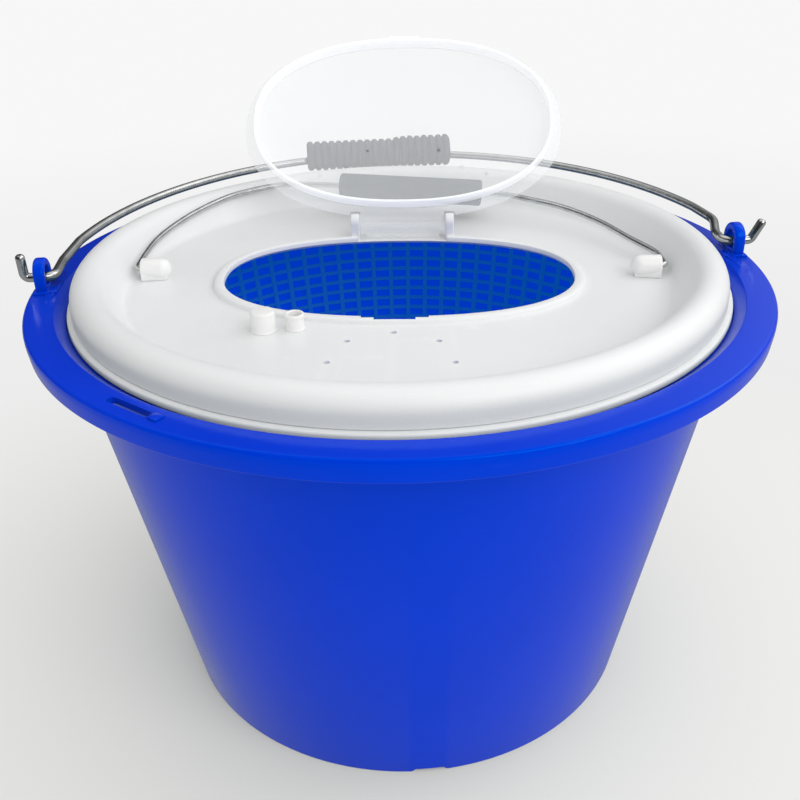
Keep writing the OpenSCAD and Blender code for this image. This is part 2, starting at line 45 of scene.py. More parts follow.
# Tub: wall, flange with its skirt, mouth, foot ring
TUB_H, FOOT_R, MOUTH_R, TUB_WALL = 218.5, 126.0, 163.6, 2.5
SLOPE = (MOUTH_R - FOOT_R) / TUB_H
RIM_R, RIM_T, SKIRT_H = 180.4, 2.8, 10.2
EDGE_R, MOUTH_IN, SEAT_IN, SEAT_Z = 166.8, 161.5, 159.0, 213.5
FOOT_IN, FOOT_H, FLOOR_Z = 119.0, 4.0, 7.0
NOTCHES, NOTCH_TURN, NOTCH_HALF, NOTCH_H = 4, math.radians(-83), 7.0, 2.5
SLOT_TURN, SLOT_HALF, SLOT_W = math.radians(-124), 12.0, 4.0

# Ears: their turn about the tub, and the arch over the flange
EAR_TURN, EAR_R, EAR_T, SILL_H = math.radians(7.6), 174.4, 5.4, 3.2
ARCH_R, ARCH_W, ARCH_RISE, WEB_REACH = 8.0, 4.0, 7.4, 23.0

# Insert: ring, lattice, lid with its rolled rim, hatch opening
RING_R, RING_IN, RING_Z, RING_T = 161.2, 151.2, 213.8, 3.3
SPIGOT_IN, SPIGOT_OUT, SPIGOT_H = 150.67, 152.87, 6.0
BAND_IN, BAND_OUT, BAND_H = 154.1, 156.3, 5.0
BASKET_R, BASKET_H, RIBS, HOOP_PITCH, TOP_BAND = 156.4, 194.0, 80, 6.5, 8.0
PANEL_Z, LID_T, ROLL_C, ROLL_Z, ROLL_R = 214.5, 2.2, 150.3, 223.1, 8.5
ROLL_LEAN, FILLET_C, FILLET_R = 30, 132.633, 5.0
LID_OUT, LID_LOW = 158.8, 217.42
OPEN_A, OPEN_B, OVAL_POWER = 88.0, 55.0, 2.28
BEAD = [(0, 1.6), (0.25, 2.2), (0.9, 2.5), (2.3, 2.55), (3.6, 2.5), (4.5, 2.2), (5.0, 1.6), (5.15, 0.8),
        (5.5, 0.25), (6.2, 0), (9, 0)]
LATCH_STEPS = [(-15.5, 8), (-15.5, -2.2), (-9.5, -2.2), (-9.5, -4), (9.5, -4), (9.5, -2.2), (15.5, -2.2),
               (15.5, 8)]
DRAINS, DRAIN_Y, DRAIN_RING, DRAIN_STEP, DRAIN_R = 5, -95.0, 27.0, 48, 1.4
PORT_AT, PORT_BORE, PLUG_AT = (-44.5, -63.5, PANEL_Z), 3.15, (-58.5, -65.0, PANEL_Z)

# Hatch cover: hinge axis, plate and lip, measured from the axis with the cover shut
HINGE_Y, HINGE_Z, OPEN_ANGLE = 61.5, 220.7, math.radians(133)
PLATE_LOW, PLATE_TOP, COVER_GROW, LIP_H = -3.4, -1.4, 2.8, 8.0
LUG_X, LUG_W, LUG_R, LUG_H = 24.0, 4.8, 5.0, 8.6
COVER_HOLES = ((20.4, 15.6), (33.4, 26.2), (47.4, 30.8))

# Outer bail and its grip
BAIL_D, BAIL_Z, BAIL_TILT = 4.6, 224.3, math.radians(2.5)
LEG_R, HOOK_R, BOW_R, BOW_AT = 169.0, 183.1, 175.0, 4.0
OUTER_GRIP_L, OUTER_GRIP_R, OUTER_BORE, GRIP_RIBS = 94.0, 9.3, 6.49, 20

# Inner bail, its sockets and its grip; the bow's points are shares of HALF and REACH
SOCKET_X, SOCKET_Z, SOCKET_D, SOCKET_L = 121.25, 219.75, 10.5, 9.75
WIRE_D, HALF, REACH = 3.2, 134.0, 116.0
BOW_LEFT = [(-1, 0.12), (-0.985, 0.32), (-0.925, 0.54), (-0.84, 0.73), (-0.74, 0.87), (-0.57, 0.985),
            (-0.41, 0.99)]
BOW_RIGHT = [(0.45, 0.82), (0.54, 0.76), (0.67, 0.66), (0.8, 0.49), (0.9, 0.29), (0.985, 0.12)]
INNER_GRIP_L, INNER_GRIP_R, INNER_BORE = 85.0, 7.5, 2.4
GRIP_MIDDLE, GRIP_BACK, GRIP_FALL = 3.5, 0.91, 0.12


def tub_out(z):
    return FOOT_R + SLOPE * z


def basket_out(z):
    return BASKET_R - SLOPE * (RING_Z - z)


# Outlines and paths

def rounded(corners, steps=4):
    """An outline whose corners, each (x, z, radius), are rounded off."""
    line = []
    for i, (x, z, r) in enumerate(corners):
        here = Vector((x, z))
        if r <= 0:
            line.append(here)
            continue
        back = Vector(corners[i - 1][:2]) - here
        ahead = Vector(corners[(i + 1) % len(corners)][:2]) - here
        half = back.angle(ahead) / 2
        reach = min(r / math.tan(half), 0.49 * back.length, 0.49 * ahead.length)
        r = reach * math.tan(half)
        back.normalize(), ahead.normalize()
        middle = here + (back + ahead).normalized() * r / math.sin(half)
        first, last = here + back * reach - middle, here + ahead * reach - middle
        turn = math.pi - 2 * half
        for k in range(steps + 1):
            t = k / steps
            swing = first * math.sin((1 - t) * turn) + last * math.sin(t * turn)
            line.append(middle + swing / math.sin(turn))
    return line


def arc(cx, cy, r, a0, a1, steps):
    """Points of an arc; the angles are in degrees."""
    turns = [math.radians(a0 + (a1 - a0) * k / steps) for k in range(steps + 1)]
    return [Vector((cx + r * math.cos(a), cy + r * math.sin(a))) for a in turns]


def bend(a, b, c, r, steps=7):
    """Points of a bend where a wire turns at b on its way from a to c."""
    back, ahead = (a - b).normalized(), (c - b).normalized()
    angle = back.angle(ahead)
    middle = b + (back + ahead).normalized() * r / math.sin(angle / 2)
    first = b + back * r / math.tan(angle / 2) - middle
    last = b + ahead * r / math.tan(angle / 2) - middle
    turn = math.pi - angle
    line = []
    for k in range(steps + 1):
        t = k / steps
        swing = first * math.sin((1 - t) * turn) + last * math.sin(t * turn)
        line.append(middle + swing / math.sin(turn))
    return line


def smooth_line(points, steps=7):
    """A smooth curve through points, without its two end points."""
    line = []
    for a, b, c, d in zip(points, points[1:], points[2:], points[3:]):
        for k in range(steps):
            t = k / steps
            line.append(0.5 * (2 * b + (c - a) * t + (2 * a - 5 * b + 4 * c - d) * t * t
                               + (3 * b - a - 3 * c + d) * t ** 3))
    return line


# Shapes

def spun(*outlines, steps=160, closed=True):
    """Round shapes from outlines in x and z; an open one starts and ends on the axis."""
    bm = bmesh.new()
    for outline in outlines:
        verts = [bm.verts.new((p[0], 0, p[1])) for p in outline]
        for pair in zip(verts, verts[1:]):
            bm.edges.new(pair)
        if closed:
            bm.edges.new((verts[-1], verts[0]))
    bmesh.ops.spin(bm, geom=bm.verts[:] + bm.edges[:], cent=(0, 0, 0), axis=(0, 0, 1), angle=2 * math.pi,
                   steps=steps, use_merge=True)
    bmesh.ops.remove_doubles(bm, verts=bm.verts, dist=1e-4)
    return bm


def loft(sections, around, capped=False):
    """Draws a ring of edges through the sections; each gives the point at a turn."""
    bm = bmesh.new()
    place = bm.verts.layers.int.new("place")
    ring = bmesh.ops.create_circle(bm, segments=around)["verts"]
    for i, v in enumerate(ring):
        v[place] = i
    edges = first = bm.edges[:]
    for number, section in enumerate(sections):
        if number:
            made = bmesh.ops.extrude_edge_only(bm, edges=edges)["geom"]
            ring = [g for g in made if isinstance(g, bmesh.types.BMVert)]
            inside = set(ring)
            edges = list({e for v in ring for e in v.link_edges if e.other_vert(v) in inside})
        for v in ring:
            v.co = section(2 * math.pi * v[place] / around)
    if capped:
        bmesh.ops.contextual_create(bm, geom=first)
        bmesh.ops.contextual_create(bm, geom=edges)
    else:
        bmesh.ops.remove_doubles(bm, verts=bm.verts, dist=1e-3)
    return bm


def circle(r, z):
    return lambda turn: Vector((r * math.cos(turn), r * math.sin(turn), z))


def oval(grow, z):
    """The outline of the hatch opening, grown by a distance, at a height."""
    def at(turn):
        c, s = math.cos(turn), math.sin(turn)
        return Vector((math.copysign((OPEN_A + grow) * abs(c) ** (2 / OVAL_POWER), c),
                       math.copysign((OPEN_B + grow) * abs(s) ** (2 / OVAL_POWER), s), z))
    return at


def swept(path, d, around):
    """A round wire along a path, with eased ends; wire_place holds its own lengthwise coordinates."""
    ends = [(0, 0.55), (0.12, 0.86), (0.3, 1)]
    t = [(path[min(i + 1, len(path) - 1)] - path[max(i - 1, 0)]).normalized() for i in range(len(path))]
    side = t[0].orthogonal().normalized()
    frames, run = [], 0.0
    for i, p in enumerate(path):
        side = (side - t[i] * side.dot(t[i])).normalized()
        run += (p - path[i - 1]).length if i else 0
        frames.append([p, side, t[i].cross(side), d / 2, run])
    tips = []
    for at, way in ((0, 1), (-1, -1)):
        p, u, v, r, length = frames[at]
        tip = [[p + t[at] * way * back * d, u, v, r * size, length + back * d * way] for back, size in ends]
        tips.append(tip if at == 0 else tip[::-1])
    inner = [f for f in frames[1:-1] if (f[0] - frames[0][0]).length > 0.4 * d
             and (f[0] - frames[-1][0]).length > 0.4 * d]
    rings = tips[0] + inner + tips[1]

    def section(p, u, v, r, length):
        return lambda turn: p + u * r * math.cos(turn) + v * r * math.sin(turn)

    bm = loft([section(*f) for f in rings], around, capped=True)
    step, place = bm.verts.layers.int["place"], bm.verts.layers.float_vector.new("wire_place")
    ordered = iter(bm.verts)
    for f in rings:
        for _ in range(around):
            v = next(ordered)
            turn = 2 * math.pi * v[step] / around
            v[place] = Vector((math.cos(turn), math.sin(turn), f[4] / 40))
    return bm


def block(bm, low, high):
    """A box between two corners; returns its vertices."""
    low, high = Vector(low), Vector(high)
    verts = bmesh.ops.create_cube(bm, size=1)["verts"]
    for v in verts:
        v.co = Vector(((low[i] + high[i]) / 2 + v.co[i] * (high[i] - low[i]) for i in range(3)))
    return verts


def rod(bm, r, length, matrix, steps):
    bmesh.ops.create_cone(bm, cap_ends=True, segments=steps, radius1=r, radius2=r, depth=length,
                          matrix=matrix)


def alone(draw, *sizes):
    """A new shape that holds one block or rod."""
    bm = bmesh.new()
    draw(bm, *sizes)
    return bm


def slab(outline, thick, hole=None):
    """A flat plate in x and y, with or without a hole of as many points, z from 0 up."""
    bm = bmesh.new()
    rims = []
    for line in [outline] + ([hole] if hole else []):
        verts = [bm.verts.new((p[0], p[1], 0)) for p in line]
        rims.append([bm.edges.new((verts[i - 1], verts[i])) for i in range(len(verts))])
    if hole:
        bmesh.ops.bridge_loops(bm, edges=rims[0] + rims[1])
    else:
        bmesh.ops.contextual_create(bm, geom=rims[0])
    made = bmesh.ops.extrude_face_region(bm, geom=bm.faces[:])["geom"]
    bmesh.ops.translate(bm, vec=(0, 0, thick), verts=[g for g in made if isinstance(g, bmesh.types.BMVert)])
    bmesh.ops.recalc_face_normals(bm, faces=bm.faces)
    return bm


def soften(bm, width, steps=3, angle=35):
    """Bevels the edges that turn by more than an angle."""
    bmesh.ops.recalc_face_normals(bm, faces=bm.faces)
    sharp = [e for e in bm.edges if len(e.link_faces) == 2 and e.calc_face_angle(0) > math.radians(angle)]
    bmesh.ops.bevel(bm, geom=sharp, offset=width, segments=steps, profile=0.5, affect="EDGES",
                    material=-1, clamp_overlap=True)
    return bm


def add(bm, other, matrix=Matrix()):
    """Joins another shape into bm, moved by a matrix."""
    bmesh.ops.transform(other, matrix=matrix, verts=other.verts)
    mesh = bpy.data.meshes.new("part")
    other.to_mesh(mesh)
    other.free()
    bm.from_mesh(mesh)
    bpy.data.meshes.remove(mesh)
    return bm


def carve(bm, other, how="DIFFERENCE"):
    """A boolean of two closed shapes."""
    objects = []
    for shape in (bm, other):
        bmesh.ops.recalc_face_normals(shape, faces=shape.faces)
        mesh = bpy.data.meshes.new("part")
        shape.to_mesh(mesh)
        shape.free()
        objects.append(bpy.data.objects.new("part", mesh))
        bpy.context.scene.collection.objects.link(objects[-1])
    cut = objects[0].modifiers.new("cut", "BOOLEAN")
    cut.operation, cut.solver, cut.object = how, "EXACT", objects[1]
    result = bmesh.new()
    result.from_object(objects[0], bpy.context.evaluated_depsgraph_get())
    for obj in objects:
        mesh = obj.data
        bpy.data.objects.remove(obj)
        bpy.data.meshes.remove(mesh)
    return result


def settle(name, bm, slot, body, node):
    """Makes the piece in metres, with its slot's finish, on its body, standing for its CAD node."""
    bmesh.ops.recalc_face_normals(bm, faces=bm.faces)
    bmesh.ops.scale(bm, vec=(MM, MM, MM), verts=bm.verts)
    mesh = bpy.data.meshes.new(name)
    bm.to_mesh(mesh)
    bm.free()
    mesh.shade_smooth()
    mesh.set_sharp_from_angle(angle=math.radians(CREASE))
    mesh.materials.append(FINISHES[slot])
    obj = bpy.data.objects.new(name, mesh)
    bpy.context.scene.collection.objects.link(obj)
    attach(obj, body)
    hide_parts(node)


# Finishes

def make(tree, kind, inputs=None, **settings):
    node = tree.nodes.new(kind)
    for key, value in settings.items():
        setattr(node, key, value)
    for key, value in (inputs or {}).items():
        if isinstance(value, bpy.types.NodeSocket):
            tree.links.new(value, node.inputs[key])
        else:
            node.inputs[key].default_value = value
    return node


def blend(tree, how, amount, a, b):
    """A colour mix; sockets or values."""
    return make(tree, "ShaderNodeMix", {0: amount, 6: a, 7: b}, data_type="RGBA", blend_type=how).outputs[2]


def span(tree, value, from_low, from_high, low, high):
    return make(tree, "ShaderNodeMapRange", {"Value": value, "From Min": from_low, "From Max": from_high,
                                             "To Min": low, "To Max": high}).outputs[0]


def calc(tree, how, *values):
    """One step of arithmetic; sockets or values."""
    return make(tree, "ShaderNodeMath", dict(enumerate(values)), operation=how).outputs[0]


def vector_calc(tree, how, *values, result="Vector"):
    return make(tree, "ShaderNodeVectorMath", dict(enumerate(values)), operation=how).outputs[result]


def noise(tree, vector, scale, detail, roughness=0.5):
    return make(tree, "ShaderNodeTexNoise", {"Vector": vector, "Scale": scale, "Detail": detail,
                                             "Roughness": roughness}).outputs["Fac"]


def object_place(tree):
    return make(tree, "ShaderNodeTexCoord").outputs["Object"]


def new_group(name, inputs):
    """A node group with the inputs given, and a colour, a roughness and a height as its outputs."""
    tree = bpy.data.node_groups.new(name, "ShaderNodeTree")
    outputs = [("Colour", (0.0,) * 4), ("Roughness", 0.0), ("Height", 0.0)]
    for side, sockets in (("INPUT", inputs), ("OUTPUT", outputs)):
        for label, value in sockets:
            kind = {float: "NodeSocketFloat", tuple: "NodeSocketColor"}[type(value)]
            made = tree.interface.new_socket(name=label, in_out=side, socket_type=kind)
            if side == "INPUT":
                made.default_value = value
    return tree, tree.nodes.new("NodeGroupInput").outputs


def give(tree, colour, roughness, height):
    out = tree.nodes.new("NodeGroupOutput")
    for label, value in (("Colour", colour), ("Roughness", roughness), ("Height", height)):
        tree.links.new(value, out.inputs[label])
    return tree


def moulding_group():
    """Injection-moulded plastic: slow drift of colour, orange peel, fine scuffs and paler worn edges."""
    tree, given = new_group("moulding", [
        ("Colour", (0.5, 0.5, 0.5, 1.0)), ("Drift", 0.08), ("Roughness", 0.3), ("Peel Scale", 500.0),
        ("Scuffs", 0.1), ("Edge Wear", 0.1)])
    place = object_place(tree)
    slow = noise(tree, place, 14.0, 3.0)
    peel = noise(tree, place, given["Peel Scale"], 2.0)
    drawn = make(tree, "ShaderNodeMapping", {
        "Vector": place, "Scale": (60, 60, 900), "Rotation": (0.4, 0.7, 0.2)})
    hair = noise(tree, drawn.outputs[0], 1.0, 4.0, 0.6)
    scuff = calc(tree, "MULTIPLY", span(tree, hair, 0.63, 0.72, 0.0, 1.0), given["Scuffs"])
    edge = span(tree, make(tree, "ShaderNodeNewGeometry").outputs["Pointiness"], 0.51, 0.58, 0.0, 1.0)
    edge = calc(tree, "MULTIPLY", edge, given["Edge Wear"])
    level = calc(tree, "MULTIPLY_ADD", span(tree, slow, 0.3, 0.7, -0.5, 0.5), given["Drift"], 1.0)
    colour = blend(tree, "MULTIPLY", 1.0, given["Colour"], level)
    for amount, lift in ((edge, 0.25), (scuff, 0.12)):
        colour = blend(tree, "MIX", amount, colour, blend(tree, "ADD", 1.0, colour, (lift, lift, lift, 1.0)))
    rough = calc(tree, "ADD", span(tree, slow, 0.3, 0.7, -0.03, 0.03), given["Roughness"])
    rough = calc(tree, "MULTIPLY_ADD", scuff, 0.25, rough)
    return give(tree, colour, rough, calc(tree, "MULTIPLY_ADD", scuff, -0.4, peel))


def drawing_group():
    """Galvanised wire: streaks along its length and a mottled zinc bloom."""
    tree, given = new_group("drawn_wire", [
        ("Colour", (0.5, 0.5, 0.5, 1.0)), ("Roughness", 0.3), ("Streaks", 0.3)])
    along = make(tree, "ShaderNodeAttribute", attribute_name="wire_place").outputs["Vector"]
    streak = noise(tree, along, 6.0, 5.0, 0.7)
    bloom = noise(tree, object_place(tree), 160.0, 4.0)
    amount = calc(tree, "MULTIPLY", span(tree, streak, 0.35, 0.65, -1.0, 1.0), given["Streaks"])
    level = calc(tree, "MULTIPLY_ADD", amount, 0.5, span(tree, bloom, 0.3, 0.7, 0.85, 1.1))
    rough = calc(tree, "MULTIPLY_ADD", amount, 0.25, given["Roughness"])
    return give(tree, blend(tree, "MULTIPLY", 1.0, given["Colour"], level), rough, streak)


MOULDING, DRAWN = moulding_group(), drawing_group()
FINISHES = {}


def finish(name, colour, group, values, bump, distance, **surface):
    """A material of one shared group, a bump and a Principled surface, kept under its slot's name."""
    material = bpy.data.materials.new(name)
    material.use_nodes = True
    tree = material.node_tree
    tree.nodes.clear()
    shared = make(tree, "ShaderNodeGroup", node_tree=group)
    shared.inputs["Colour"].default_value = (*colour, 1)
    for key, value in values.items():
        shared.inputs[key].default_value = value
    relief = make(tree, "ShaderNodeBump", {
        "Strength": bump, "Distance": distance, "Height": shared.outputs["Height"]})
    shader = make(tree, "ShaderNodeBsdfPrincipled", {
        "Base Color": shared.outputs["Colour"], "Roughness": shared.outputs["Roughness"],
        "Normal": relief.outputs[0], **{key.replace("_", " "): value for key, value in surface.items()}})
    make(tree, "ShaderNodeOutputMaterial", {"Surface": shader.outputs[0]})
    FINISHES[name] = material


def plastic(name, colour, drift, rough, peel, scuffs, wear, bump, distance, **surface):
    values = {"Drift": drift, "Roughness": rough, "Peel Scale": peel, "Scuffs": scuffs, "Edge Wear": wear}
    finish(name, colour, MOULDING, values, bump, distance, **surface)


def surface_of(slot):
    tree = FINISHES[slot].node_tree
    return tree, next(n for n in tree.nodes if n.type == "BSDF_PRINCIPLED").inputs


def paint_glow_through(slot, colour, depth):
    """Paints a glow on a wall's inner side, more than a depth inside the tub's outer skin; the glow stands in
    for daylight that comes through the wall.
    """
    tree, surface = surface_of(slot)
    place = object_place(tree)
    z = make(tree, "ShaderNodeSeparateXYZ", {0: place}).outputs["Z"]
    flat = vector_calc(tree, "MULTIPLY", place, (1, 1, 0))
    radius = vector_calc(tree, "LENGTH", flat, result="Value")
    wall = calc(tree, "MULTIPLY_ADD", z, SLOPE, (FOOT_R - depth) * MM)
    inside = calc(tree, "LESS_THAN", radius, wall)
    below = calc(tree, "LESS_THAN", z, SEAT_Z * MM)
    above = calc(tree, "GREATER_THAN", z, (FLOOR_Z - 1.5) * MM)
    mask = calc(tree, "MULTIPLY", calc(tree, "MULTIPLY", inside, below), above)
    # Painted glow: the emission colour, shown where the mask is on
    surface["Emission Color"].default_value = (*colour, 1)
    tree.links.new(mask, surface["Emission Strength"])


def calm(slot, colour):
    """Gives rays from other surfaces a quieter colour, so a strong one does not stain its neighbours."""
    tree, surface = surface_of(slot)
    light = make(tree, "ShaderNodeLightPath").outputs
    bounced = calc(tree, "MAXIMUM", light["Is Diffuse Ray"], light["Is Glossy Ray"])
    seen = surface["Base Color"].links[0].from_socket
    tree.links.new(blend(tree, "MIX", bounced, seen, (*colour, 1)), surface["Base Color"])


def denser_lip(slot, alpha, glow):
    """Eases the cover's alpha and its painted glow, each (lip, plate), from the plate to the lip under it; the
    glow stands in for light that passes through the frosted plastic.
    """
    tree, surface = surface_of(slot)
    hinge = (0, HINGE_Y * MM, HINGE_Z * MM)
    from_hinge = vector_calc(tree, "SUBTRACT", object_place(tree), hinge)
    plate_up = (0, math.sin(OPEN_ANGLE), math.cos(OPEN_ANGLE))
    height = vector_calc(tree, "DOT_PRODUCT", from_hinge, plate_up, result="Value")
    for label, (lip, plate) in (("Alpha", alpha), ("Emission Strength", glow)):
        eased = span(tree, height, (PLATE_LOW - 1.4) * MM, (PLATE_LOW - 0.2) * MM, lip, plate)
        tree.links.new(eased, surface[label])


# Colour; drift, roughness, peel scale, scuffs and edge wear; strength and depth of the bump
plastic("tub_blue", (0.0, 0.036, 0.66), 0.06, 0.18, 260.0, 0.03, 0.0, 0.12, 0.0004,
        Specular_IOR_Level=0.25, Specular_Tint=(0.0, 0.9, 1.0, 1.0))
plastic("lattice_blue", (0.001, 0.085, 0.45), 0.12, 0.35, 700.0, 0.1, 0.05, 0.15, 0.0003)
plastic("lid_white", (0.80, 0.81, 0.815), 0.03, 0.42, 900.0, 0.25, 0.05, 0.2, 0.0003)
plastic("fitting_white", (0.85, 0.85, 0.84), 0.03, 0.38, 1100.0, 0.1, 0.05, 0.15, 0.0002)
plastic("grip_slate", (0.030, 0.045, 0.068), 0.15, 0.55, 1600.0, 0.3, 0.12, 0.3, 0.0003)
# The cover's white emission colour is a painted glow, for light that passes through the frosted plastic
plastic("cover_frost", (0.86, 0.875, 0.885), 0.02, 0.4, 1500.0, 0.15, 0.1, 0.25, 0.0002,
        Emission_Color=(1.0, 1.0, 1.0, 1.0))
finish("bail_steel", (0.60, 0.61, 0.605), DRAWN, {"Roughness": 0.22, "Streaks": 0.12}, 0.1, 0.0001, Metallic=1.0)
# Painted glow inside the tub and on the lattice, for daylight that comes through the blue walls
paint_glow_through("tub_blue", (0.0, 0.032, 0.27), 1.4)
paint_glow_through("lattice_blue", (0.0, 0.05, 0.19), 0)
calm("tub_blue", (0.05, 0.09, 0.2))
# Painted glow on the cover, stronger on its lip
denser_lip("cover_frost", alpha=(0.62, 0.24), glow=(0.3, 0.07))


# Tub: one tapered wall, a rolled flange with a skirt, a foot ring and two ears

def ear_shape():
    """An arch that stands on the flange; x is the radius, y runs along the rim."""
    opening = ARCH_R - ARCH_W
    outer = arc(0, ARCH_RISE, ARCH_R, 0, 180, 24)
    outer += [(ARCH_R * (k / 3 - 1), -1.0) for k in range(7)]
    inner = arc(0, ARCH_RISE, opening, 0, 180, 24)
    inner += [(opening * (k / 3 - 1), SILL_H) for k in range(7)]
    arch = soften(slab(outer, EAR_T, inner), 1.2, 3)
    upright = Matrix(((0, 0, 1, EAR_R - EAR_T / 2), (1, 0, 0, 0), (0, 1, 0, TUB_H), (0, 0, 0, 1)))
    bmesh.ops.transform(arch, matrix=upright, verts=arch.verts)
    low, half = TUB_H - 0.6, EAR_T / 2 + 1
    pad = alone(block, (EAR_R - half, -ARCH_R - 2, low), (EAR_R + half, ARCH_R + 2, TUB_H + 1.2))
    for way in (-1, 1):
        # A web runs out along the mouth's edge and tapers away
        for v in block(pad, (EDGE_R + 0.6, -ARCH_R, low), (EAR_R + 1.5, ARCH_R, TUB_H + 0.9)):
            if v.co.y * way > 0:
                inside = v.co.x < (EDGE_R + EAR_R) / 2
                v.co = Vector((EDGE_R + (2.0 if inside else 2.8), way * WEB_REACH, min(v.co.z, TUB_H + 0.3)))
    return add(arch, soften(pad, 0.5, 2))


def tub_shape():
    under, skirt = TUB_H - RIM_T, TUB_H - SKIRT_H
    outline = rounded([
        (0, FOOT_H, 0), (FOOT_IN, FOOT_H, 1.2), (FOOT_IN, 0, 0.8), (FOOT_R, 0, 1.0),
        (tub_out(under), under, 4.5), (RIM_R - 2.8, under, 1.6), (RIM_R - 3.4, skirt, 0.7),
        (RIM_R - 0.8, skirt, 0.9), (RIM_R, TUB_H - 3.6, 4), (RIM_R, TUB_H, 2.9), (EDGE_R, TUB_H, 0.8),
        (MOUTH_IN + 0.4, SEAT_Z + 0.8, 0.5), (MOUTH_IN, SEAT_Z, 0), (SEAT_IN, SEAT_Z, 0.6),
        (SEAT_IN, (SEAT_IN + TUB_WALL - FOOT_R) / SLOPE, 3), (tub_out(FLOOR_Z) - TUB_WALL, FLOOR_Z, 4),
        (0, FLOOR_Z, 0)], steps=6)
    bm = spun(outline, steps=224, closed=False)
    cuts = bmesh.new()
    for i in range(NOTCHES):
        cut = bmesh.new()
        for v in block(cut, (FOOT_R - 5, -NOTCH_HALF, -1), (FOOT_R + 5, NOTCH_HALF, NOTCH_H)):
            v.co.y *= 1.5 if v.co.z < 0 else 1
        add(cuts, cut, Matrix.Rotation(NOTCH_TURN + 2 * math.pi * i / NOTCHES, 4, "Z"))
    slot = alone(block, (EAR_R - SLOT_W, -SLOT_HALF, TUB_H - 6), (EAR_R, SLOT_HALF, TUB_H + 2))
    upright = [e for e in slot.edges if abs((e.verts[0].co - e.verts[1].co).z) > 4]
    bmesh.ops.bevel(slot, geom=upright, offset=SLOT_W / 2 - 0.1, segments=4, profile=0.5, affect="EDGES",
                    material=-1)
    at_slot = Matrix.Rotation(SLOT_TURN, 4, "Z")
    bm = carve(bm, add(cuts, slot, at_slot))
    for side in (0, math.pi):
        add(bm, ear_shape(), Matrix.Rotation(EAR_TURN + side, 4, "Z"))
    lip = alone(block, (EAR_R - SLOT_W - 0.4, SLOT_HALF + 0.6, TUB_H - 0.5),
                (EAR_R + 0.4, SLOT_HALF + 5.6, TUB_H + 0.9))
    return add(bm, soften(lip, 0.4, 2), at_slot)


# Insert: ring, lattice, lid and its fittings

def ring_shape():
    top, low = RING_Z + RING_T, RING_Z - SPIGOT_H
    return spun(rounded([
        (RING_IN, RING_Z, 0.4), (SPIGOT_IN, RING_Z, 0), (SPIGOT_IN, low, 0.5), (SPIGOT_OUT, low, 0.5),
        (SPIGOT_OUT, RING_Z, 0.3), (RING_R, RING_Z, 0.9), (RING_R, top, 1.1), (BAND_OUT, top, 0.4),
        (BAND_OUT, top + BAND_H, 0.6), (BAND_IN, top + BAND_H, 0.6), (BAND_IN, top, 0.4),
        (RING_IN, top, 0.5)], 3), steps=224)


def lattice_shape():
    """Close upright ribs on the inside and thinner hoops behind them, moulded as one."""
    low, high = RING_Z - BASKET_H, RING_Z
    bm = bmesh.new()
    for v in block(bm, (-0.8, -1.3, low + 1), (0.8, 1.3, high - 1)):
        v.co.x += basket_out(v.co.z) - 1.5
    bmesh.ops.spin(bm, geom=bm.verts[:] + bm.edges[:] + bm.faces[:], cent=(0, 0, 0), axis=(0, 0, 1),
                   angle=2 * math.pi * (RIBS - 1) / RIBS, steps=RIBS - 1, use_duplicate=True)
    # Each band: where it starts, how tall it is, its wall, and how far its foot reaches inward
    bands = [(low, 3.0, 2.2, 3.0), (high - TOP_BAND, TOP_BAND, 2.2, 0.0)]
    z = low + HOOP_PITCH
    while z < high - TOP_BAND - 1:
        bands.append((z, 1.9, 1.3, 0.0))
        z += HOOP_PITCH
    outlines = [[(basket_out(z) - wall - foot, z), (basket_out(z), z), (basket_out(z + h), z + h),
                 (basket_out(z + h) - wall - foot, z + h)] for z, h, wall, foot in bands]
    return add(bm, spun(*outlines, steps=160))


def lid_shape():
    under, inner = PANEL_Z - LID_T, LID_OUT - LID_T
    fillet = (FILLET_C, PANEL_Z + FILLET_R)
    line = [oval(grow, PANEL_Z + h) for grow, h in BEAD]
    line += [circle(*p) for p in arc(*fillet, FILLET_R, -90, -ROLL_LEAN, 7)]
    line += [circle(*p) for p in arc(ROLL_C, ROLL_Z, ROLL_R, 180 - ROLL_LEAN, 0, 22)]
    line += [circle(LID_OUT, 219.5), circle(LID_OUT, LID_LOW + 0.38), circle(LID_OUT - 0.3, LID_LOW),
             circle(inner + 0.3, LID_LOW), circle(inner, LID_LOW + 0.38)]
    line += [circle(*p) for p in arc(ROLL_C, ROLL_Z, ROLL_R - LID_T, 0, 180 - ROLL_LEAN, 14)]
    line += [circle(*p) for p in arc(*fillet, FILLET_R + LID_T, -ROLL_LEAN, -90, 7)]
    line += [oval(grow, under + h) for grow, h in [(3.2, 0), (2.0, 0.4), (0.7, 1.4), (0, LID_T)]]
    bm = loft(line + [oval(BEAD[0][0], PANEL_Z + BEAD[0][1])], 224)
    cuts = slab([(x, y - OPEN_B) for x, y in LATCH_STEPS], 30)
    bmesh.ops.translate(cuts, vec=(0, 0, 200), verts=cuts.verts)
    block(cuts, (-25, OPEN_B - 4, PANEL_Z + 0.02), (25, OPEN_B + 9, PANEL_Z + 6))
    for i in range(DRAINS):
        turn = math.radians(90 + (i - DRAINS // 2) * DRAIN_STEP)
        at = (DRAIN_RING * math.cos(turn), DRAIN_Y + DRAIN_RING * math.sin(turn), PANEL_Z)
        rod(cuts, DRAIN_R, 12, Matrix.Translation(at), 20)
    bm = carve(bm, cuts)
    outline = arc(0, LUG_H, LUG_R, 0, 180, 18) + [(-LUG_R, -0.5), (LUG_R, -0.5)]
    for x in (-LUG_X - LUG_W, LUG_X):
        lug = soften(slab(outline, LUG_W), 0.7, 3)
        add(bm, lug, Matrix(((0, 0, 1, x), (1, 0, 0, HINGE_Y), (0, 1, 0, PANEL_Z), (0, 0, 0, 1))))
    return bm


